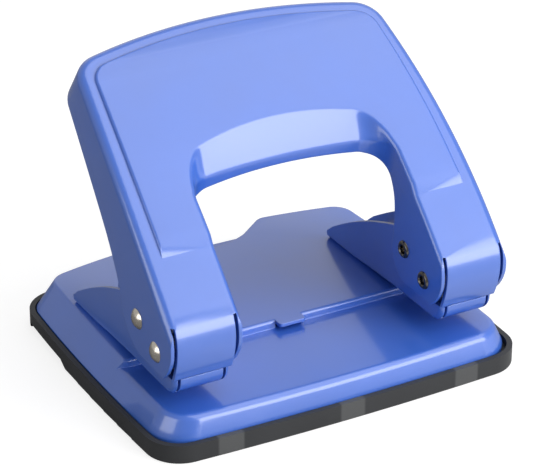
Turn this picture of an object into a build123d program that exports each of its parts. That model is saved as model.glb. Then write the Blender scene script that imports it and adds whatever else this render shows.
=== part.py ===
from build123d import *
import math
import os

os.makedirs("parts", exist_ok=True)

# Two-hole paper punch. Millimetres, +X to the right, +Y to the rear, +Z up.
# The origin is on the desk, under the middle of the chip tray.

# Driving dimensions. The hole pitch is the standard one and sets the scale.
HOLE_PITCH = 80.0
HEAD_X = HOLE_PITCH / 2
PIVOT_Y = -33.55
PIVOT_Z = 27.0
CRANK_RADIUS = 11.17
CRANK_REST_DEG = 24.7
HANDLE_TRAVEL_DEG = 31.0
LEDGE_Z = 11.5
TABLE_Z = 13.8
SHELF_Z = 8.0
STEP_Y = -13.0
THROAT = 3.8
BASE_SHEET = 1.0
LEDGE_ROUND = 2.2
INNER_LEDGE_CHAMFER = 0.8
TABLE_ROUND = 0.8
MARK_HALF = 4.0
MARK_REACH = 2.7
BRACKET_SHEET = 1.2
HANDLE_SHEET = 1.0
RUN_GAP = 0.05

# The drive rivet circles the pivot, so its place and the punch axis follow.
CRANK_REST = math.radians(CRANK_REST_DEG)
CRANK_END = math.radians(CRANK_REST_DEG - HANDLE_TRAVEL_DEG)
DRIVE_Y = PIVOT_Y + CRANK_RADIUS * math.cos(CRANK_REST)
DRIVE_Z = PIVOT_Z + CRANK_RADIUS * math.sin(CRANK_REST)
PUNCH_Y = PIVOT_Y + CRANK_RADIUS * (1 + math.cos(CRANK_REST)) / 2
PUNCH_STROKE = CRANK_RADIUS * (math.sin(CRANK_REST) - math.sin(CRANK_END))

# Chip tray.
TRAY_HEIGHT = 5.4
TRAY_WALL = 1.5
TRAY_FLOOR = 1.2
TRAY_SEAT = 3.35
SEAT_WIDTH = 2.7
SNAP_X = 35.7
FOOT_Z = TRAY_SEAT + RUN_GAP

# Bracket, a channel open at the top, measured from its own middle plane.
BRACKET_HALF = 8.1
BRACKET_REAR_HALF = 7.4
WEB_Z = LEDGE_Z + THROAT
WEB_TOP = WEB_Z + BRACKET_SHEET
BRACKET_FRONT_Y = -39.5
BRACKET_REAR_Y = 22.6
RAMP_YS = (8.0, -17.0)
RAMP_ROUND = 30.0
FRONT_ROUND = 5.0
LIP_TOP_Z = 20.75
LIP_HALF = 6.1
BRACKET_RIVET_YS = (11.0, 17.5)
BRACKET_RIVET_D = 3.0

# Punch pin, washer, spring and guide bush.
PUNCH_D = 5.5
PUNCH_TIP_Z = WEB_Z + 0.3
PUNCH_HEAD_D = 8.6
PUNCH_HEAD_BOTTOM = DRIVE_Z - 3.4
PUNCH_HEAD_TOP = DRIVE_Z + 3.6
WASHER_SIZE = (5.7, 7.8, 0.6)
BUSH_D = 7.6
BUSH_FLANGE_D = 9.6
BUSH_FLANGE_T = 0.8
SPRING_WIRE = 0.65
SPRING_TURNS = 3.5
SPRING_MEAN_R = 3.45

# Rivets through the heads.
RIVET_D = 4.0
RIVET_HEAD_D = 5.7
RIVET_HEAD_H = 1.3

# Handle: the panel is arched from front to rear and its two arms end in heads.
ARM_HALF = 10.2
PANEL_START = (-41.0, 36.7)
PANEL_START_DEG = 47.74
PANEL_RADIUS = 239.0
PANEL_MEAN_DEG = 37.66
EMBOSS = 0.9
EMBOSS_START = 18.5
EMBOSS_RAMP = 3.2
SLIT = 0.9
FOLD_ROUND = 2.6
CURL_Z = 60.0
CURL_ROUND = 2.0


# Middles of the fold edges of the handle's forms, each on either side of X = 0.
OUTER_FOLD = [(50.2, -49.2, 27.2), (49.5, -14.5, 61.7), (44.2, 19.6, 84.8), (0, 26.3, 88.4)]
OPENING_FOLD = [
    (29.8, -34.6, 43.4), (29.8, -27.2, 51.3), (29.8, -22.5, 56.2), (28.1, -12.0, 64.9), (0, -4.6, 70.4)
]
PANEL_STEP = [(44.2, -7.4, 68.4), (41.1, 16.2, 83.9), (0, 22.0, 87.1)]
INNER_FOLD = [(49.2, -48.4, 26.5), (48.5, -14.0, 60.8), (43.4, 19.4, 83.5), (0, 26.1, 87.1)]


def bowed_plan(halves, ys, bows, radii):
    """A rounded four-sided plan whose sides bulge outwards a little.

    Each argument holds the front value, then the rear one. bows has the side bow first.
    """
    front_left = (-halves[0], ys[0])
    front_right = (halves[0], ys[0])
    rear_right = (halves[1], ys[1])
    rear_left = (-halves[1], ys[1])
    side_x = (halves[0] + halves[1]) / 2 + bows[0]
    mid_y = (ys[0] + ys[1]) / 2
    plan = make_face([
        ThreePointArc(front_left, (0, ys[0] - bows[1]), front_right),
        ThreePointArc(front_right, (side_x, mid_y), rear_right),
        ThreePointArc(rear_right, (0, ys[1] + bows[2]), rear_left),
        ThreePointArc(rear_left, (-side_x, mid_y), front_left),
    ])
    plan = fillet(plan.vertices().sort_by(Axis.Y)[:2], radii[0])
    rear = [v for v in plan.vertices() if v.Y > mid_y]
    return fillet(rear, radii[1])


def side_solid(outline, half_width, centre_x=0.0, smooth=(), radius=8.0):
    """Extrude an outline given as (y, z) the same distance both ways along X.

    The outline's corners whose y is in smooth are rounded first.
    """
    face = make_face(outline)
    for y in smooth:
        corners = [v for v in face.vertices() if abs(v.X - y) < 0.01]
        face = fillet(corners, radius)
    return Pos(centre_x, 0, 0) * extrude(Plane.YZ * face, half_width, both=True)


def block(xs, ys, zs):
    """A box between two limits on each axis."""
    size = Box(abs(xs[1] - xs[0]), abs(ys[1] - ys[0]), abs(zs[1] - zs[0]))
    return Pos(sum(xs) / 2, sum(ys) / 2, sum(zs) / 2) * size


def x_bar(radius, xs, y, z):
    """A round bar along X."""
    return Pos(sum(xs) / 2, y, z) * Rot(0, 90, 0) * Cylinder(radius, abs(xs[1] - xs[0]))


def z_bar(radius, x, y, zs):
    """A round bar along Z."""
    return Pos(x, y, sum(zs) / 2) * Cylinder(radius, abs(zs[1] - zs[0]))


def polyline(points):
    """Straight edges through the points, closed."""
    return [Line(a, b) for a, b in zip(points, points[1:] + points[:1])]


def edges_at(solid, z, tolerance=0.02):
    """Edges that lie flat at the height z."""
    return [e for e in solid.edges() if abs(e.bounding_box().min.Z - z) < tolerance
            and abs(e.bounding_box().max.Z - z) < tolerance]


def tray_plan(inset):
    """Plan of the tray, drawn in by the given amount."""
    return bowed_plan(
        (54.8 - inset, 53.6 - inset),
        (-46.3 + inset, 45.9 - inset),
        (1.6, 1.6, 0.5),
        (10.0 - inset, 11.0 - inset),
    )


def chip_tray():
    """Shallow flexible tray that snaps round the base and holds the paper chips."""
    tray = extrude(tray_plan(0), TRAY_HEIGHT)
    tray = fillet(edges_at(tray, 0), 0.6)
    tray -= Pos(0, 0, TRAY_SEAT) * extrude(tray_plan(TRAY_WALL), TRAY_HEIGHT)
    tray -= Pos(0, 0, TRAY_FLOOR) * extrude(tray_plan(TRAY_WALL + SEAT_WIDTH), TRAY_HEIGHT)
    # The wall is thinner behind three snap panels along the bowed front.
    for x in (-SNAP_X, 0.0, SNAP_X):
        outside = -46.3 - 1.6 * (1 - (x / 54.8) ** 2)
        pocket = (outside + 0.9, outside + TRAY_WALL + 1.0)
        tray -= block((x - 3.4, x + 3.4), pocket, (TRAY_SEAT, TRAY_HEIGHT - 1.0))
    # A finger recess under the rear of each side.
    for side in (-1, 1):
        recess = polyline([(38.5, -1), (38.5, 2), (15, 2), (9, -1)])
        tray -= side_solid(recess, 3.0, side * 54.4)
    return tray


def foot_plan(inset):
    """Plan of the base skirt where it stands in the tray."""
    return bowed_plan(
        (53.0 - inset, 51.8 - inset),
        (-44.5 + inset, 44.1 - inset),
        (1.5, 1.6, 0.5),
        (11.0 - inset, 9.5 - inset),
    )


def crown_plan(inset):
    """Plan of the base near the height of the table, before the ledge and recess."""
    return bowed_plan(
        (48.8 - inset, 47.0 - inset),
        (-42.6 + inset, 38.5 - inset),
        (1.0, 2.2, 6.5),
        (8.0 - inset, 6.0 - inset),
    )


def table_region(inset):
    """Plan region of the raised table, whose front edge is the paper stop."""
    region = Pos(0, 23.5 + inset) * Rectangle(103 - 2 * inset, 73)
    return fillet(region.vertices().sort_by(Axis.Y)[:2], 4.0 - inset)


def recess_plan(grow):
    """Plan of the wide recess in the rear edge of the table."""
    edges = [
        ThreePointArc((-13, 36.8), (0, 33.2), (13, 36.8)),
        Line((13, 36.8), (26.5, 47.6)),
        Line((26.5, 47.6), (26.5, 60)),
        Line((26.5, 60), (-26.5, 60)),
        Line((-26.5, 60), (-26.5, 47.6)),
        Line((-26.5, 47.6), (-13, 36.8)),
    ]
    plan = make_face(edges)
    plan = fillet([v for v in plan.vertices() if abs(abs(v.X) - 13) < 0.01], 8.0)
    return offset(plan, grow) if grow else plan


def base_form(inset):
    """The outer form of the base stamping, or its inner form when drawn in."""
    foot_z = FOOT_Z - 2 * inset
    table_z = TABLE_Z - inset
    ledge_z = LEDGE_Z - inset
    foot = extrude(Pos(0, 0, foot_z) * foot_plan(inset), 5.5 - foot_z)
    crown = loft([Pos(0, 0, 5.5) * foot_plan(inset), Pos(0, 0, TABLE_Z + 1) * crown_plan(inset + 0.4)])
    whole = foot + crown
    low = whole - block((-70, 70), (-70, 70), (ledge_z, 30))
    ledge_edges = edges_at(low, ledge_z)
    low = chamfer(ledge_edges, INNER_LEDGE_CHAMFER) if inset else fillet(ledge_edges, LEDGE_ROUND)
    low -= extrude(Pos(0, 0, SHELF_Z - inset) * recess_plan(inset + 6), 20)
    high = whole - extrude(Pos(0, 0, SHELF_Z - inset) * recess_plan(inset), 20)
    mouth = [e for e in high.edges() if e.bounding_box().size.Z > 3 and abs(abs(e.center().X) - 22.6) < 1]
    high = fillet(mouth, 4.0)
    high &= extrude(table_region(inset), table_z)
    high = fillet(edges_at(high, table_z), TABLE_ROUND - 0.4 * inset)
    return low + high


def base_plate():
    """Enamelled steel base: low front ledge, raised rear table and the stop step between."""
    plate = base_form(0) - base_form(BASE_SHEET)
    for x in (-HEAD_X, HEAD_X):
        plate -= z_bar(PUNCH_D / 2 + RUN_GAP, x, PUNCH_Y, (0, TABLE_Z))
        for y in BRACKET_RIVET_YS:
            plate -= z_bar(BRACKET_RIVET_D / 2, x, y, (TABLE_Z - 2, TABLE_Z + 1))
    # The centre mark is a tab lanced out of the step, with its slot below.
    plate -= block((-MARK_HALF, MARK_HALF), (STEP_Y - 1, STEP_Y + 1.6), (LEDGE_Z, TABLE_Z - BASE_SHEET))
    tab = block((-MARK_HALF, MARK_HALF), (STEP_Y - MARK_REACH, STEP_Y + 1), (TABLE_Z - BASE_SHEET, TABLE_Z))
    corners = tab.edges().filter_by(Axis.Z).sort_by(Axis.Y)[:2]
    return plate + fillet(corners, 0.8)


def bracket_outline():
    """Side view of the bracket cheeks, as (y, z)."""
    front = BRACKET_FRONT_Y
    ramp_rear, ramp_front = RAMP_YS
    return [
        Line((BRACKET_REAR_Y, TABLE_Z), (ramp_rear, TABLE_Z)),
        Line((ramp_rear, TABLE_Z), (ramp_front, WEB_Z)),
        Line((ramp_front, WEB_Z), (front + FRONT_ROUND, WEB_Z)),
        RadiusArc((front + FRONT_ROUND, WEB_Z), (front, WEB_Z + FRONT_ROUND), FRONT_ROUND),
        Line((front, WEB_Z + FRONT_ROUND), (front, LIP_TOP_Z)),
        Line((front, LIP_TOP_Z), (-35.6, LIP_TOP_Z)),
        Line((-35.6, LIP_TOP_Z), (-35.2, 22.1)),
        # Round the pivot the cheek stays inside the swing of the handle's nose.
        ThreePointArc((-35.2, 22.1), (PIVOT_Y - 5.3, PIVOT_Z), (-38.1, 29.7)),
        Line((-38.1, 29.7), (-37.0, 32.6)),
        ThreePointArc((-37.0, 32.6), (-35.7, 35.0), (-33.2, 36.0)),
        Line((-33.2, 36.0), (-22.0, 36.0)),
        Spline((-22.0, 36.0), (-9.6, 32.8), (5.0, 26.8), (19.5, 18.7), tangents=[(1, -0.1), (1, -0.62)]),
        Line((19.5, 18.7), (BRACKET_REAR_Y, 16.2)),
        Line((BRACKET_REAR_Y, 16.2), (BRACKET_REAR_Y, TABLE_Z)),
    ]


def bracket_channel():
    """Side view of the space inside the bracket, open at the top and rear."""
    front = BRACKET_FRONT_Y + BRACKET_SHEET
    sheet = BRACKET_SHEET
    inner_round = FRONT_ROUND - sheet
    ramp_rear, ramp_front = RAMP_YS
    return [
        Line((40, TABLE_Z + sheet), (ramp_rear, TABLE_Z + sheet)),
        Line((ramp_rear, TABLE_Z + sheet), (ramp_front, WEB_TOP)),
        Line((ramp_front, WEB_TOP), (front + inner_round, WEB_TOP)),
        RadiusArc((front + inner_round, WEB_TOP), (front, WEB_TOP + inner_round), inner_round),
        Line((front, WEB_TOP + inner_round), (front, LIP_TOP_Z)),
        Line((front, LIP_TOP_Z), (-60, LIP_TOP_Z)),
        Line((-60, LIP_TOP_Z), (-60, 60)),
        Line((-60, 60), (40, 60)),
        Line((40, 60), (40, TABLE_Z + sheet)),
    ]


def bracket_plan(inset):
    """Plan of the bracket: it narrows to the rear, clear of the handle's closing sides."""
    front = BRACKET_HALF - inset
    rear = BRACKET_REAR_HALF - inset
    return make_face(polyline([
        (-front, -60), (front, -60), (front, -24), (rear, 0), (rear, 40), (-rear, 40), (-rear, 0), (-front, -24),
    ]))


def bracket():
    """Channel bracket at the middle plane: it carries the pivot and guides the punch."""
    body = side_solid(bracket_outline(), BRACKET_HALF, smooth=RAMP_YS, radius=RAMP_ROUND)
    body &= extrude(bracket_plan(0), 60)
    low = [e for e in body.edges() if e.center().Z < WEB_Z + 2 and e.center().Y < 15]
    low = [e for e in low if e.bounding_box().size.Y > 0.5]
    body = fillet(low, 1.6)
    inside = BRACKET_HALF - BRACKET_SHEET
    channel = side_solid(bracket_channel(), inside, smooth=RAMP_YS, radius=RAMP_ROUND)
    body -= channel & extrude(bracket_plan(BRACKET_SHEET), 60)
    for side in (-1, 1):
        gap = sorted((side * LIP_HALF, side * inside))
        body -= block(gap, (-45, BRACKET_FRONT_Y + 3.2), (WEB_TOP, LIP_TOP_Z + 1))
    body -= x_bar(RIVET_D / 2 + RUN_GAP, (-20, 20), PIVOT_Y, PIVOT_Z)
    swing = CenterArc(
        (PIVOT_Y, PIVOT_Z), CRANK_RADIUS, math.degrees(CRANK_END) - 0.5, HANDLE_TRAVEL_DEG + 1.0
    )
    body -= extrude(Plane.YZ * SlotArc(swing, RIVET_D + 0.4), 20, both=True)
    body -= z_bar(BUSH_D / 2, 0, PUNCH_Y, (WEB_Z - 1, WEB_TOP + 1))
    for y in BRACKET_RIVET_YS:
        body -= z_bar(BRACKET_RIVET_D / 2, 0, y, (TABLE_Z - 1, TABLE_Z + 3))
    return body


def guide_bush():
    """Flanged steel bush pressed into the bracket web."""
    bush = z_bar(BUSH_D / 2, 0, PUNCH_Y, (WEB_Z, WEB_TOP + BUSH_FLANGE_T))
    bush += z_bar(BUSH_FLANGE_D / 2, 0, PUNCH_Y, (WEB_TOP, WEB_TOP + BUSH_FLANGE_T))
    return bush - z_bar(PUNCH_D / 2 + RUN_GAP, 0, PUNCH_Y, (WEB_Z - 1, WEB_TOP + 5))


def punch_pin():
    """Hardened pin with a slotted head and a hollow-ground V edge."""
    pin = z_bar(PUNCH_D / 2, 0, PUNCH_Y, (PUNCH_TIP_Z, PUNCH_HEAD_BOTTOM))
    head = z_bar(PUNCH_HEAD_D / 2, 0, PUNCH_Y, (PUNCH_HEAD_BOTTOM, PUNCH_HEAD_TOP))
    head = fillet(edges_at(head, PUNCH_HEAD_TOP), 0.6)
    pin += head
    # The rivet moves a little to and fro in this slot as the handle swings.
    drift = CRANK_RADIUS * (1 - math.cos(CRANK_REST)) / 2
    half = RIVET_D / 2 + drift + 0.15
    pin -= block((-9, 9), (PUNCH_Y - half, PUNCH_Y + half), (DRIVE_Z - RIVET_D / 2 - 0.15, DRIVE_Z + RIVET_D / 2 + 0.15))
    notch = [(PUNCH_Y - 3, PUNCH_TIP_Z - 0.2), (PUNCH_Y, PUNCH_TIP_Z + 0.8), (PUNCH_Y + 3, PUNCH_TIP_Z - 0.2)]
    return pin - side_solid(polyline(notch), 5)


def spring_washer():
    """Flat washer between the spring and the punch head."""
    bore, outer, thickness = WASHER_SIZE
    low = PUNCH_HEAD_BOTTOM - thickness
    ring = z_bar(outer / 2, 0, PUNCH_Y, (low, PUNCH_HEAD_BOTTOM))
    return ring - z_bar(bore / 2, 0, PUNCH_Y, (low - 1, PUNCH_HEAD_BOTTOM + 1))


def return_spring():
    """Coil spring that lifts the punch and the handle."""
    low = WEB_TOP + BUSH_FLANGE_T + SPRING_WIRE / 2 + 0.02
    high = PUNCH_HEAD_BOTTOM - WASHER_SIZE[2] - SPRING_WIRE / 2 - 0.02
    pitch = (high - low) / SPRING_TURNS
    print("spring self-gap", round(pitch - SPRING_WIRE, 2), "mm")
    path = Helix(pitch=pitch, height=high - low, radius=SPRING_MEAN_R)
    wire = Plane(origin=path @ 0, z_dir=path % 0) * RegularPolygon(SPRING_WIRE / 2, 6)
    return Pos(0, PUNCH_Y, low) * sweep(wire, path=path)


def head_rivet(y, z):
    """Semi-tubular rivet along X: domed head outwards, rolled hollow end inwards."""
    outer = ARM_HALF + RUN_GAP
    shank = RIVET_D / 2
    head = RIVET_HEAD_D / 2
    bore = 1.25
    rim = outer + 0.7
    profile = make_face([
        ThreePointArc((outer + RIVET_HEAD_H, 0), (outer + 0.78 * RIVET_HEAD_H, head / 2), (outer, head)),
        Line((outer, head), (outer, shank)),
        Line((outer, shank), (-outer, shank)),
        Line((-outer, shank), (-outer, shank + 0.5)),
        ThreePointArc((-outer, shank + 0.5), (-outer - 0.5, shank + 0.2), (-rim, bore + 0.3)),
        Line((-rim, bore + 0.3), (-rim + 0.3, bore)),
        Line((-rim + 0.3, bore), (-rim + 3.6, bore)),
        Line((-rim + 3.6, bore), (-rim + 4.3, 0)),
        Line((-rim + 4.3, 0), (outer + RIVET_HEAD_H, 0)),
    ])
    return Pos(0, y, z) * revolve(profile, Axis.X)


def bracket_rivet(y):
    """Rivet that holds the bracket web to the base."""
    top = TABLE_Z + BRACKET_SHEET
    rivet = z_bar(BRACKET_RIVET_D / 2, 0, y, (TABLE_Z - BASE_SHEET, top))
    flat_head = z_bar(2.9, 0, y, (TABLE_Z - BASE_SHEET - 0.9, TABLE_Z - BASE_SHEET))
    formed_head = z_bar(2.5, 0, y, (top, top + 1.1))
    formed_head = chamfer(edges_at(formed_head, top + 1.1), 0.6)
    return rivet + flat_head + formed_head


def panel_point(s, depth):
    """Point (y, z) at the distance s up the arched panel and depth below its face."""
    start = math.radians(PANEL_START_DEG)
    centre_y = PANEL_START[0] + PANEL_RADIUS * math.sin(start)
    centre_z = PANEL_START[1] - PANEL_RADIUS * math.cos(start)
    angle = start - s / PANEL_RADIUS
    radius = PANEL_RADIUS - depth
    return (centre_y - radius * math.sin(angle), centre_z + radius * math.cos(angle))


def panel_arc(s0, s1, depth):
    """Arc along the panel between two distances, at one depth."""
    return ThreePointArc(
        panel_point(s0, depth), panel_point((s0 + s1) / 2, depth), panel_point(s1, depth)
    )


def arched_slab(sheet):
    """The arched panel as a deep block with rounded side and rear folds."""
    foot = (panel_point(-25, sheet)[0], 5.0)
    slab = side_solid([
        panel_arc(92, -25, sheet),
        Line(panel_point(-25, sheet), foot),
        Line(foot, (60.0, 5.0)),
        Line((60.0, 5.0), panel_point(92, sheet)),
    ], 60)
    slab &= extrude(handle_plan(sheet), 80, both=True)
    return fillet(edges_near(slab, INNER_FOLD if sheet else OUTER_FOLD), FOLD_ROUND - sheet)


def handle_outline(sheet):
    """Side view that trims the slab: the nose of the heads and the lower flange edge."""
    nose = [(-41.0, 36.7), (-42.3, 32.8), (-42.2, 28.3), (-41.3, 24.4), (-40.0, 21.2)]
    if sheet:
        nose = [(-40.2, 36.0), (-41.3, 32.6), (-41.2, 28.5), (-40.3, 24.6), (-38.9, 20.9)]
        lower = [
            Line(nose[-1], (-30.0, 10.0)),
            Line((-30.0, 10.0), (70.0, 10.0)),
            Line((70.0, 10.0), (70.0, 110.0)),
        ]
    else:
        lower = [
            Line(nose[-1], (-24.0, 21.6)),
            ThreePointArc((-24.0, 21.6), (-17.2, 25.6), (-13.6, 33.6)),
            Spline((-13.6, 33.6), (-5.8, 46.1), (2.0, 54.2), (15.0, 65.6), (28.6, 75.8)),
            Line((28.6, 75.8), (70.0, 110.0)),
        ]
    return [Spline(*nose), *lower, Line((70.0, 110.0), (-60.0, 57.4)), Line((-60.0, 57.4), nose[0])]


def handle_plan(inset):
    """Plan of the handle square to its mean slope: it narrows to an arched rear edge."""
    half = ARM_HALF + HEAD_X - inset
    top_half = 45.6 - inset
    top = 78.5 - inset
    plan = make_face([
        Line((-half, -40), (half, -40)),
        Line((half, -40), (half, 0)),
        ThreePointArc((half, 0), (49.1 - inset, 40), (top_half, top)),
        ThreePointArc((top_half, top), (0, 84.9 - inset), (-top_half, top)),
        ThreePointArc((-top_half, top), (-49.1 + inset, 40), (-half, 0)),
        Line((-half, 0), (-half, -40)),
    ])
    plan = fillet([v for v in plan.vertices() if v.Y > 60], 9.0 - inset)
    return panel_plane() * plan


def panel_plane():
    """Plane through the foot of the panel at its mean slope."""
    slope = math.radians(PANEL_MEAN_DEG)
    return Plane(
        origin=(0, PANEL_START[0], PANEL_START[1]),
        x_dir=(1, 0, 0),
        z_dir=(0, -math.sin(slope), math.cos(slope)),
    )


def hand_opening(grow):
    """The space between the arms; its top wall leans forward and curls back at its lower edge."""
    half = HEAD_X - ARM_HALF + grow
    plan = make_face([
        Line((-half, -110), (half, -110)),
        Line((half, -110), (half, 2.1 + grow)),
        ThreePointArc((half, 2.1 + grow), (0, 5.7 + grow), (-half, 2.1 + grow)),
        Line((-half, 2.1 + grow), (-half, -110)),
    ])
    plan = fillet([v for v in plan.vertices() if v.Y > 0], 8.5 + grow)
    upper = Solid.extrude((Pos(0, 0, 100) * plan).face(), Vector(0, -14, CURL_Z - 100))
    lower = Solid.extrude((Pos(0, -14, CURL_Z) * plan).face(), Vector(0, 21.5, -80))
    opening = upper + lower
    crease = [e for e in edges_at(opening, CURL_Z) if e.length > 5]
    return fillet([e for e in crease if e.center().Y > -30], CURL_ROUND - grow)


def raised_panel(sheet):
    """The raised field of the panel, one drawn step above its border."""
    ramp = EMBOSS_START + EMBOSS_RAMP
    profile = [
        Line(panel_point(EMBOSS_START - 1, 5), panel_point(EMBOSS_START, sheet)),
        Line(panel_point(EMBOSS_START, sheet), panel_point(ramp, sheet - EMBOSS)),
        panel_arc(ramp, 90, sheet - EMBOSS),
        Line(panel_point(90, sheet - EMBOSS), panel_point(90, 5)),
        panel_arc(90, EMBOSS_START - 1, 5),
    ]
    plan = make_face([
        Line((-44.9 + sheet, 0), (44.9 - sheet, 0)),
        ThreePointArc((44.9 - sheet, 0), (44.5 - sheet, 40), (42.2 - sheet, 75.0 - sheet)),
        ThreePointArc((42.2 - sheet, 75.0 - sheet), (0, 80.7 - sheet), (-42.2 + sheet, 75.0 - sheet)),
        ThreePointArc((-42.2 + sheet, 75.0 - sheet), (-44.5 + sheet, 40), (-44.9 + sheet, 0)),
    ])
    plan = fillet([v for v in plan.vertices() if v.Y > 60], 6.5 - sheet)
    return side_solid(profile, 60) & extrude(panel_plane() * plan, 60, both=True)


def edges_near(solid, places, reach=1.2):
    """Edges whose middle is near one of the places, on either side of X = 0."""
    found = []
    for edge in solid.edges():
        c = edge.center()
        if edge.length > 3 and any(
            abs(abs(c.X) - x) < reach and abs(c.Y - y) < reach and abs(c.Z - z) < reach
            for x, y, z in places
        ):
            found.append(edge)
    return found


def handle_form(sheet):
    """The outer form of the handle, or the space inside it when sheet is above 0."""
    form = arched_slab(sheet) & side_solid(handle_outline(sheet), 60)
    form += raised_panel(sheet)
    return form - hand_opening(sheet)


def handle():
    """One stamping: arched panel with turned-down flanges and two forked heads."""
    outer = handle_form(0)
    outer = fillet(edges_near(outer, OPENING_FOLD), 1.6)
    outer = fillet(edges_near(outer, PANEL_STEP, 0.6), 0.8)
    shell = outer - handle_form(HANDLE_SHEET)
    shell -= opening_edge()
    for side in (-1, 1):
        shell -= head_cuts(side)
    return shell


def opening_edge():
    """What is cut away below the lower edge of the flange round the hand opening."""
    half = HEAD_X - ARM_HALF
    arch = make_face([
        ThreePointArc((-half, 55.9), (0, 57.4), (half, 55.9)),
        Line((half, 55.9), (half, 0)),
        Line((half, 0), (-half, 0)),
        Line((-half, 0), (-half, 55.9)),
    ])
    arch = fillet([v for v in arch.vertices() if v.Y > 50], 8.0)
    under = extrude(Plane.XZ * arch, 60, both=True)
    arm_flange = [
        ThreePointArc((-24.0, 21.6), (-18.6, 25.4), (-17.6, 33.0)),
        Spline((-17.6, 33.0), (-18.2, 40.3), (-17.4, 46.6), (-14.6, 51.8), (-9.0, 56.5)),
        Line((-9.0, 56.5), (30.0, 56.5)),
        Line((30.0, 56.5), (30.0, 0.0)),
        Line((30.0, 0.0), (-24.0, 0.0)),
        Line((-24.0, 0.0), (-24.0, 21.6)),
    ]
    return under + side_solid(arm_flange, half + HANDLE_SHEET + 0.1)


def head_cuts(side):
    """Slits beside the curled nose of one head, and its rivet holes."""
    middle = side * HEAD_X
    wall = ARM_HALF - HANDLE_SHEET
    reach = (middle - ARM_HALF - 1, middle + ARM_HALF + 1)
    cuts = x_bar(RIVET_D / 2 + RUN_GAP, reach, PIVOT_Y, PIVOT_Z)
    cuts += x_bar(RIVET_D / 2 + 0.02, reach, DRIVE_Y, DRIVE_Z)
    # The cheeks' front edges curl back below, behind the strip between the slits.
    ahead = [
        ThreePointArc((-42.5, 29.6), (-40.3, 24.4), (-37.4, 21.2)),
        Line((-37.4, 21.2), (-37.4, 15.0)),
        Line((-37.4, 15.0), (-50.0, 15.0)),
        Line((-50.0, 15.0), (-50.0, 29.6)),
        Line((-50.0, 29.6), (-42.5, 29.6)),
    ]
    for edge in (-1, 1):
        gap = sorted((middle + edge * (wall - SLIT), middle + edge * wall))
        cuts += block(gap, (-46, -30), (15, PANEL_START[1]))
        cuts += side_solid(ahead, HANDLE_SHEET, middle + edge * ARM_HALF)
    return cuts


def place(shape, side):
    """Put a piece of the right head on its side of the punch."""
    moved = Pos(HEAD_X, 0, 0) * shape
    return moved if side == "right" else mirror(moved, Plane.YZ)


def all_parts():
    """Every sub-part under its node name."""
    parts = {"chip_tray": chip_tray(), "base_plate": base_plate(), "handle": handle()}
    pieces = {
        "bracket": bracket(),
        "guide_bush": guide_bush(),
        "punch_pin": punch_pin(),
        "spring_washer": spring_washer(),
        "return_spring": return_spring(),
        "pivot_rivet": head_rivet(PIVOT_Y, PIVOT_Z),
        "drive_rivet": head_rivet(DRIVE_Y, DRIVE_Z),
        "front_bracket_rivet": bracket_rivet(BRACKET_RIVET_YS[0]),
        "rear_bracket_rivet": bracket_rivet(BRACKET_RIVET_YS[1]),
    }
    for side in ("left", "right"):
        for name, shape in pieces.items():
            parts[f"{name}_{side}"] = place(shape, side)
    return parts


if __name__ == "__main__":
    for name, shape in all_parts().items():
        export_step(shape, f"parts/{name}.step")
        print(name, "solids", len(shape.solids()), "volume", round(shape.volume, 1))
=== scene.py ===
import math

import bmesh
import bpy
from mathutils import Matrix, Vector


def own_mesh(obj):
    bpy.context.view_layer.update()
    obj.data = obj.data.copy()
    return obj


bl_info = {
    "name": "Two-hole paper punch",
    "version": (1, 0, 0),
    "blender": (4, 5, 0),
    "location": "3D View > Sidebar > Punch",
    "description": "Enamel, plastic and steel finishes for a desk paper punch, with its studio",
    "category": "Object",
}

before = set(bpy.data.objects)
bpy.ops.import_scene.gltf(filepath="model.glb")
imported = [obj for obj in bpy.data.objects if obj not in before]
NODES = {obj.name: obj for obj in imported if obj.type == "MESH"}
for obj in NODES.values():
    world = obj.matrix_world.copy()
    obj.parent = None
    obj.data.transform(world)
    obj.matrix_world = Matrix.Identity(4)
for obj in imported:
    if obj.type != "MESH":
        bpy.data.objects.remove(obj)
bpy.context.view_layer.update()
MM = 0.001
HEADS = ("left", "right")
ENAMELLED = ("handle", "base_plate", "bracket_left", "bracket_right")
# Bends sharper than this stay crisp when a piece is shaded smooth.
SHEET_CREASE_DEG = 28.0
TURNED_CREASE_DEG = 35.0
# The tray's snap panels: distance between their middles, half width, and where the front wall starts.
SNAP_PITCH = 35.7 * MM
SNAP_HALF = 3.6 * MM
TRAY_FRONT_Y = -45.3 * MM
# A rivet's rolled end lies nearer to the middle of the punch than this.
ROLLED_END_X = 30.1 * MM
SOFT_EDGE = 0.3 * MM
# Share of white: light that the floor gives back, its brightness when seen, and that of the sky in a mirror.
FLOOR_ALBEDO = 0.30
FLOOR_SEEN = 0.80
SKY_MIRRORED = 0.45
# In a mirror the floor in front of the punch shows as full white, and the rest of it dark.
CARD_MIRRORED = 1.0 / FLOOR_SEEN
# The picture is 553 pixels wide, and the camera's axis meets it this far from its middle.
PICTURE_WIDTH = 553
AXIS_OFFSET = (6.5, -0.5)


def linear(hex_colour):
    """Turn an sRGB hex value such as 2A55D8 into a linear red, green and blue."""
    channels = [int(hex_colour[i:i + 2], 16) / 255 for i in (0, 2, 4)]
    return tuple(c / 12.92 if c <= 0.04045 else ((c + 0.055) / 1.055) ** 2.4 for c in channels)


def rgba(colour):
    """A colour property as the four values that a colour socket takes."""
    return (*colour, 1.0)


def add_node(tree, kind, inputs=None, **settings):
    """Add a shader node. Its inputs are plain values, or output sockets to link from."""
    node = tree.nodes.new(kind)
    for name, value in settings.items():
        setattr(node, name, value)
    for name, value in (inputs or {}).items():
        if isinstance(value, bpy.types.NodeSocket):
            tree.links.new(value, node.inputs[name])
        else:
            node.inputs[name].default_value = value
    return node


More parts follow.
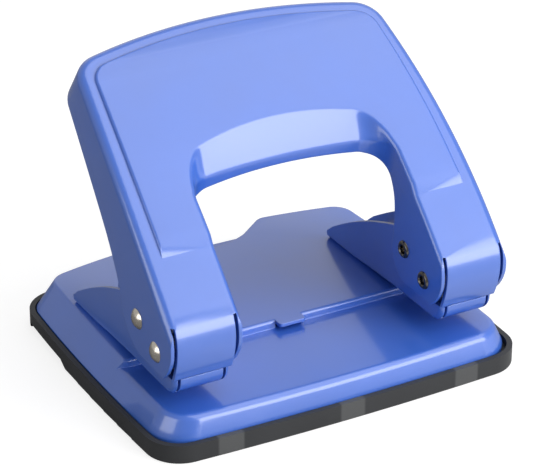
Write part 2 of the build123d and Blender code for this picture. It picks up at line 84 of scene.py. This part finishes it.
def new_material(name):
    """An empty node material, its tree and its output node."""
    material = bpy.data.materials.new(name)
    material.use_nodes = True
    tree = material.node_tree
    tree.nodes.clear()
    return material, tree, add_node(tree, "ShaderNodeOutputMaterial")


def noise(tree, spacing_mm, detail):
    """Output socket of noise over Object coordinates whose features are about spacing_mm apart."""
    place = add_node(tree, "ShaderNodeTexCoord")
    return add_node(tree, "ShaderNodeTexNoise", {
        "Vector": place.outputs["Object"],
        "Scale": 1.0 / (spacing_mm * MM),
        "Detail": detail,
        "Roughness": 0.5,
    }).outputs["Fac"]


def object_axes(tree):
    """The X, Y and Z output sockets of the Object coordinates."""
    place = add_node(tree, "ShaderNodeTexCoord")
    return add_node(tree, "ShaderNodeSeparateXYZ", {"Vector": place.outputs["Object"]}).outputs


def math_node(tree, operation, first, second=0.0):
    """Output socket of one step of arithmetic."""
    return add_node(tree, "ShaderNodeMath", {0: first, 1: second}, operation=operation).outputs["Value"]


def mixed(tree, factor, first, second):
    """Output socket of a colour between two others."""
    mix = add_node(tree, "ShaderNodeMix", {0: factor, 6: first, 7: second}, data_type="RGBA")
    return mix.outputs[2]


def ranged(tree, value, low, high, to_low, to_high):
    """Output socket of a value moved from one range to another."""
    return add_node(tree, "ShaderNodeMapRange", {
        "Value": value, "From Min": low, "From Max": high, "To Min": to_low, "To Max": to_high,
    }).outputs["Result"]


def clouded(tree, cloud, colour, dimmed):
    """Output socket of a colour that noise dims in places."""
    dim = tuple(c * dimmed for c in colour)
    return mixed(tree, ranged(tree, cloud, 0.3, 0.7, 0.0, 1.0), rgba(dim), rgba(colour))


def relief(tree, height, strength, depth_mm, **under):
    """Output socket of the normal of fine relief. under may name the normal that it lies on."""
    return add_node(tree, "ShaderNodeBump", {
        "Height": height, "Strength": strength, "Distance": depth_mm * MM, **under,
    }).outputs["Normal"]


def finished(material, tree, output, **inputs):
    """Link a Principled shader with these inputs to the output and hand back the material."""
    named = {name.replace("_", " "): value for name, value in inputs.items()}
    shader = add_node(tree, "ShaderNodeBsdfPrincipled", named)
    tree.links.new(shader.outputs["BSDF"], output.inputs["Surface"])
    return material


def baked_enamel(finish):
    """Stoving enamel on pressed steel: deep gloss, faint orange peel and thinner colour on edges."""
    material, tree, output = new_material("baked_enamel_on_pressed_steel")
    rounded = add_node(tree, "ShaderNodeBevel", {"Radius": finish.edge_round}, samples=6)
    flat = add_node(tree, "ShaderNodeNewGeometry")
    facing = add_node(tree, "ShaderNodeVectorMath", {
        0: rounded.outputs["Normal"], 1: flat.outputs["Normal"],
    }, operation="DOT_PRODUCT")
    edge = ranged(tree, facing.outputs["Value"], 0.97, 0.75, 0.0, 1.0)
    # Pressed sheet is never quite flat, so the reflections wander over 30 mm or so.
    wave = relief(tree, noise(tree, 32.0, 1.0), 0.25, 0.10, Normal=rounded.outputs["Normal"])
    peel = relief(tree, noise(tree, finish.peel_spacing / MM, 1.5), 0.15, 0.005, Normal=wave)
    pooled = noise(tree, 18.0, 3.0)
    body = clouded(tree, pooled, finish.enamel, 0.93)
    return finished(
        material, tree, output,
        Base_Color=mixed(tree, edge, body, rgba(finish.enamel_edge)),
        Roughness=ranged(tree, pooled, 0.3, 0.7, 0.34, 0.40), IOR=1.52, Normal=peel,
        Coat_Weight=0.85, Coat_Roughness=0.13, Coat_IOR=1.65, Coat_Normal=peel)


def snap_panels(tree):
    """1 on the three thin snap panels in the middle and near the ends of the tray's front wall."""
    axes = object_axes(tree)
    # Distance in X from the nearest panel's middle: the panels repeat along the front.
    row = math_node(tree, "PINGPONG", axes["X"], SNAP_PITCH)
    nearest = math_node(tree, "MINIMUM", row, math_node(tree, "SUBTRACT", SNAP_PITCH, row))
    across = ranged(tree, nearest, SNAP_HALF - SOFT_EDGE, SNAP_HALF + SOFT_EDGE, 1.0, 0.0)
    front = ranged(tree, axes["Y"], TRAY_FRONT_Y + SOFT_EDGE, TRAY_FRONT_Y - SOFT_EDGE, 0.0, 1.0)
    return math_node(tree, "MULTIPLY", across, front)


def moulded_plastic(finish):
    """Soft moulded polyethylene: satin, finely grained, paler where the wall is thin."""
    material, tree, output = new_material("moulded_polyethylene")
    grain = noise(tree, 0.45, 2.0)
    body = clouded(tree, noise(tree, 22.0, 3.0), finish.tray, 0.85)
    return finished(
        material, tree, output,
        Base_Color=mixed(tree, snap_panels(tree), body, rgba(finish.tray_thin)),
        Roughness=ranged(tree, grain, 0.3, 0.7, 0.40, 0.50), IOR=1.51, Specular_IOR_Level=0.15,
        Normal=relief(tree, grain, 0.3, 0.03))


def plated_steel(name, colour, roughness, mark_mm, depth_mm, painted_dark_tail=False):
    """Plated or ground steel with fine working marks. A rivet's rolled end gets painted shade: a dark colour
    standing for the dark reflection that it shows.
    """
    material, tree, output = new_material(name)
    marks = noise(tree, mark_mm, 3.0)
    plate = clouded(tree, noise(tree, 3.0, 2.0), colour, 0.82)
    if painted_dark_tail:
        outward = math_node(tree, "ABSOLUTE", object_axes(tree)["X"])
        rolled = ranged(tree, outward, ROLLED_END_X + SOFT_EDGE, ROLLED_END_X - SOFT_EDGE, 0.0, 1.0)
        # Painted shade: the rolled end is darkened to 0.16 of the plate, standing for the dark reflection it
        # shows.
        plate = mixed(tree, rolled, plate, rgba(tuple(c * 0.16 for c in colour)))
    return finished(
        material, tree, output,
        Base_Color=plate, Metallic=1.0,
        Roughness=ranged(tree, marks, 0.3, 0.7, roughness - 0.04, roughness + 0.04),
        Normal=relief(tree, marks, 0.3, depth_mm))


def paint(names, material):
    """Give the named nodes one material."""
    for name in names:
        slots = NODES[name].data.materials
        slots.clear()
        slots.append(material)


def shade_smooth(names, crease_deg):
    """Join each node's loose triangles and shade its bends smooth, with crisp edges left crisp."""
    for name in names:
        piece = NODES[name]
        custom = piece.data.attributes.get("custom_normal")
        if custom:
            piece.data.attributes.remove(custom)
        piece.data.polygons.foreach_set("use_smooth", [True] * len(piece.data.polygons))
        piece.modifiers.new("join_triangles", "WELD").merge_threshold = 0.002 * MM
        crease = piece.modifiers.new("crisp_edges", "EDGE_SPLIT")
        crease.split_angle = math.radians(crease_deg)
        crease.use_edge_sharp = False


class PunchFinish(bpy.types.PropertyGroup):
    """Colours and surface sizes of the punch."""
    enamel: bpy.props.FloatVectorProperty(
        name="Enamel", description="Colour of the enamelled steel", subtype="COLOR", size=3,
        min=0.0, max=1.0, default=linear("3A68C8"))
    enamel_edge: bpy.props.FloatVectorProperty(
        name="Enamel edge", description="Colour of the thinner enamel on the sheet edges", subtype="COLOR",
        size=3, min=0.0, max=1.0, default=linear("5380E2"))
    tray: bpy.props.FloatVectorProperty(
        name="Tray", description="Colour of the chip tray", subtype="COLOR", size=3,
        min=0.0, max=1.0, default=linear("3C3D3F"))
    tray_thin: bpy.props.FloatVectorProperty(
        name="Thin tray wall", description="Colour of the tray's thin snap panels", subtype="COLOR", size=3,
        min=0.0, max=1.0, default=linear("545556"))
    rivet: bpy.props.FloatVectorProperty(
        name="Rivets", description="Colour of the nickel on the rivets", subtype="COLOR", size=3,
        min=0.0, max=1.0, default=linear("D2CBC0"))
    zinc: bpy.props.FloatVectorProperty(
        name="Zinc plate", description="Colour of the bushes and washers", subtype="COLOR", size=3,
        min=0.0, max=1.0, default=linear("C4C7CA"))
    tool_steel: bpy.props.FloatVectorProperty(
        name="Punch steel", description="Colour of the ground punch pins", subtype="COLOR", size=3,
        min=0.0, max=1.0, default=linear("B4B4B6"))
    edge_round: bpy.props.FloatProperty(
        name="Edge round", description="Radius that the enamel gives to sheet edges", subtype="DISTANCE",
        unit="LENGTH", min=0.0, max=0.001, default=0.35 * MM)
    peel_spacing: bpy.props.FloatProperty(
        name="Orange peel", description="Distance between the crests of the orange peel", subtype="DISTANCE",
        unit="LENGTH", min=0.0005, max=0.01, default=1.5 * MM)


class PunchStudio(bpy.types.PropertyGroup):
    """Camera, lamps and background."""
    lens: bpy.props.FloatProperty(
        name="Lens", description="Focal length for a 36 mm sensor, in millimetres", min=20.0, max=300.0,
        default=164.3)
    azimuth: bpy.props.FloatProperty(
        name="Azimuth", description="How far the camera stands to the left of the front",
        subtype="ANGLE", default=math.radians(28.873))
    elevation: bpy.props.FloatProperty(
        name="Elevation", description="How far the camera looks down", subtype="ANGLE",
        default=math.radians(27.137))
    camera_place: bpy.props.FloatVectorProperty(
        name="Camera place", description="Where the camera stands", subtype="XYZ", unit="LENGTH", size=3,
        default=(-0.2930, -0.5341, 0.3457))
    key_watts: bpy.props.FloatProperty(
        name="Key lamp", description="Power of the large lamp above", min=0.0, max=100.0, default=7.2)
    front_watts: bpy.props.FloatProperty(
        name="Front lamp", description="Power of the large lamp in front", min=0.0, max=100.0, default=15.0)
    fill_watts: bpy.props.FloatProperty(
        name="Fill", description="Power of the soft lamp on the left", min=0.0, max=100.0, default=3.3)
    back_watts: bpy.props.FloatProperty(
        name="Back lamp", description="Power of the lamp that the table mirrors",
        min=0.0, max=100.0, default=1.5)
    sky: bpy.props.FloatProperty(
        name="Sky", description="Strength of the light from all round", min=0.0, max=2.0, default=0.24)
    background: bpy.props.FloatVectorProperty(
        name="Background", description="Colour of the floor and backdrop", subtype="COLOR", size=3,
        min=0.0, max=1.0, default=(1.0, 1.0, 1.0))


class PUNCH_OT_enamel(bpy.types.Operator):
    """Enamel the handle, the base and the two brackets"""
    bl_idname = "paper_punch.enamel"
    bl_label = "Enamelled steel"

    def execute(self, context):
        shade_smooth(ENAMELLED, SHEET_CREASE_DEG)
        paint(ENAMELLED, baked_enamel(context.scene.punch_finish))
        return {"FINISHED"}


class PUNCH_OT_tray(bpy.types.Operator):
    """Finish the moulded chip tray"""
    bl_idname = "paper_punch.tray"
    bl_label = "Chip tray"

    def execute(self, context):
        shade_smooth(("chip_tray",), SHEET_CREASE_DEG)
        paint(("chip_tray",), moulded_plastic(context.scene.punch_finish))
        return {"FINISHED"}


class PUNCH_OT_rivets(bpy.types.Operator):
    """Finish the rivets through the heads and the brackets"""
    bl_idname = "paper_punch.rivets"
    bl_label = "Rivets"

    def execute(self, context):
        kinds = ("pivot_rivet", "drive_rivet", "front_bracket_rivet", "rear_bracket_rivet")
        names = [f"{kind}_{head}" for kind in kinds for head in HEADS]
        shade_smooth(names, TURNED_CREASE_DEG)
        nickel = context.scene.punch_finish.rivet
        # The rivets' rolled ends get painted shade.
        paint(names, plated_steel("nickel_plated_steel", nickel, 0.24, 0.25, 0.006, painted_dark_tail=True))
        return {"FINISHED"}


class PUNCH_OT_punches(bpy.types.Operator):
    """Finish the punch pins, their bushes, washers and springs"""
    bl_idname = "paper_punch.punches"
    bl_label = "Punch gear"

    def execute(self, context):
        finish = context.scene.punch_finish
        zinc = plated_steel("zinc_plated_steel", finish.zinc, 0.32, 0.3, 0.01)
        ground = plated_steel("ground_tool_steel", finish.tool_steel, 0.22, 0.12, 0.004)
        gear = ((("guide_bush", "spring_washer"), zinc), (("punch_pin", "return_spring"), ground))
        for head in HEADS:
            for kinds, material in gear:
                names = [f"{kind}_{head}" for kind in kinds]
                shade_smooth(names, TURNED_CREASE_DEG)
                paint(names, material)
            self.compress(f"return_spring_{head}", f"punch_slide_{head}")
        return {"FINISHED"}

    def compress(self, spring, slide):
        """Give the spring a mesh of its own."""
        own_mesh(NODES[spring])


def studio_lamp(name, watts, size, place, aim):
    """A large soft lamp that looks at a point."""
    lamp = bpy.data.lights.new(name, "AREA")
    lamp.shape = "RECTANGLE"
    lamp.size, lamp.size_y = size
    lamp.energy = watts
    holder = bpy.data.objects.new(name, lamp)
    bpy.context.scene.collection.objects.link(holder)
    holder.location = place
    holder.rotation_euler = (Vector(aim) - Vector(place)).to_track_quat("-Z", "Y").to_euler()


def seen_directly(tree, mirrored):
    """1 for rays from the camera or through glass, the given value for mirrored ones, else 0."""
    path = add_node(tree, "ShaderNodeLightPath").outputs
    mirror = math_node(tree, "MULTIPLY", path["Is Glossy Ray"], mirrored)
    first = math_node(tree, "MAXIMUM", path["Is Camera Ray"], mirror)
    return math_node(tree, "MAXIMUM", first, path["Is Transmission Ray"])


class PUNCH_OT_studio(bpy.types.Operator):
    """Set up the floor, the white background, the lamps and the camera"""
    bl_idname = "paper_punch.studio"
    bl_label = "Studio"

    def execute(self, context):
        studio = context.scene.punch_studio
        self.floor(studio)
        self.sky(context.scene, studio)
        self.lamps(studio)
        self.camera(context.scene, studio)
        context.scene.view_settings.view_transform = "Standard"
        return {"FINISHED"}

    def floor(self, studio):
        mesh = bpy.data.meshes.new("floor")
        sheet = bmesh.new()
        bmesh.ops.create_grid(sheet, x_segments=1, y_segments=1, size=3.0)
        sheet.to_mesh(mesh)
        sheet.free()
        floor = bpy.data.objects.new("floor", mesh)
        bpy.context.scene.collection.objects.link(floor)
        material, tree, output = new_material("white_paper_floor")
        axes = object_axes(tree)
        card = math_node(
            tree, "MULTIPLY",
            ranged(tree, axes["X"], -0.07, -0.02, 0.0, 1.0),
            ranged(tree, axes["Y"], -0.02, -0.07, 0.0, CARD_MIRRORED))
        mesh.materials.append(finished(
            material, tree, output,
            Base_Color=rgba(tuple(FLOOR_ALBEDO * c for c in studio.background)),
            Roughness=0.9, Specular_IOR_Level=0.1,
            Emission_Color=rgba(studio.background),
            Emission_Strength=math_node(tree, "MULTIPLY", seen_directly(tree, card), FLOOR_SEEN)))

    def sky(self, scene, studio):
        world = bpy.data.worlds.new("white_backdrop")
        world.use_nodes = True
        tree = world.node_tree
        tree.nodes.clear()
        strength = ranged(tree, seen_directly(tree, SKY_MIRRORED), 0.0, 1.0, studio.sky, 1.0)
        light = add_node(tree, "ShaderNodeBackground", {
            "Color": rgba(studio.background), "Strength": strength,
        })
        add_node(tree, "ShaderNodeOutputWorld", {"Surface": light.outputs["Background"]})
        scene.world = world

    def lamps(self, studio):
        middle = (0.0, 0.0, 0.04)
        studio_lamp("key_softbox", studio.key_watts, (1.1, 1.15), (0.45, -0.22, 1.0), (0.45, 0.0, 0.0))
        studio_lamp("front_softbox", studio.front_watts, (1.0, 0.9), (0.52, -1.00, 0.38), middle)
        studio_lamp("left_fill", studio.fill_watts, (0.8, 0.6), (-1.05, -0.18, 0.34), middle)
        studio_lamp("back_softbox", studio.back_watts, (1.6, 0.9), (0.75, 1.35, 0.72), middle)

    def camera(self, scene, studio):
        camera = bpy.data.cameras.new("camera")
        camera.lens = studio.lens
        camera.sensor_width = 36.0
        camera.shift_x, camera.shift_y = (offset / PICTURE_WIDTH for offset in AXIS_OFFSET)
        camera.clip_start = 0.05
        holder = bpy.data.objects.new("camera", camera)
        scene.collection.objects.link(holder)
        level = math.cos(studio.elevation)
        looking = Vector((
            math.sin(studio.azimuth) * level, math.cos(studio.azimuth) * level, -math.sin(studio.elevation),
        ))
        turn = looking.to_track_quat("-Z", "Y").to_matrix().to_4x4()
        holder.matrix_world = Matrix.Translation(studio.camera_place) @ turn
        scene.camera = holder


class PUNCH_PT_panel(bpy.types.Panel):
    """Steps and settings of the punch"""
    bl_idname = "PUNCH_PT_panel"
    bl_label = "Paper punch"
    bl_space_type = "VIEW_3D"
    bl_region_type = "UI"
    bl_category = "Punch"

    def draw(self, context):
        for operator in OPERATORS:
            self.layout.operator(operator.bl_idname)
        for settings in (context.scene.punch_finish, context.scene.punch_studio):
            for name in settings.__annotations__:
                self.layout.prop(settings, name)


OPERATORS = (PUNCH_OT_enamel, PUNCH_OT_tray, PUNCH_OT_rivets, PUNCH_OT_punches, PUNCH_OT_studio)
CLASSES = (PunchFinish, PunchStudio, *OPERATORS, PUNCH_PT_panel)


def register():
    for cls in CLASSES:
        bpy.utils.register_class(cls)
    bpy.types.Scene.punch_finish = bpy.props.PointerProperty(type=PunchFinish)
    bpy.types.Scene.punch_studio = bpy.props.PointerProperty(type=PunchStudio)


def unregister():
    del bpy.types.Scene.punch_studio
    del bpy.types.Scene.punch_finish
    for cls in reversed(CLASSES):
        bpy.utils.unregister_class(cls)


def main():
    register()
    bpy.ops.paper_punch.enamel()
    bpy.ops.paper_punch.tray()
    bpy.ops.paper_punch.rivets()
    bpy.ops.paper_punch.punches()
    bpy.ops.paper_punch.studio()


if __name__ == "__main__":
    main()
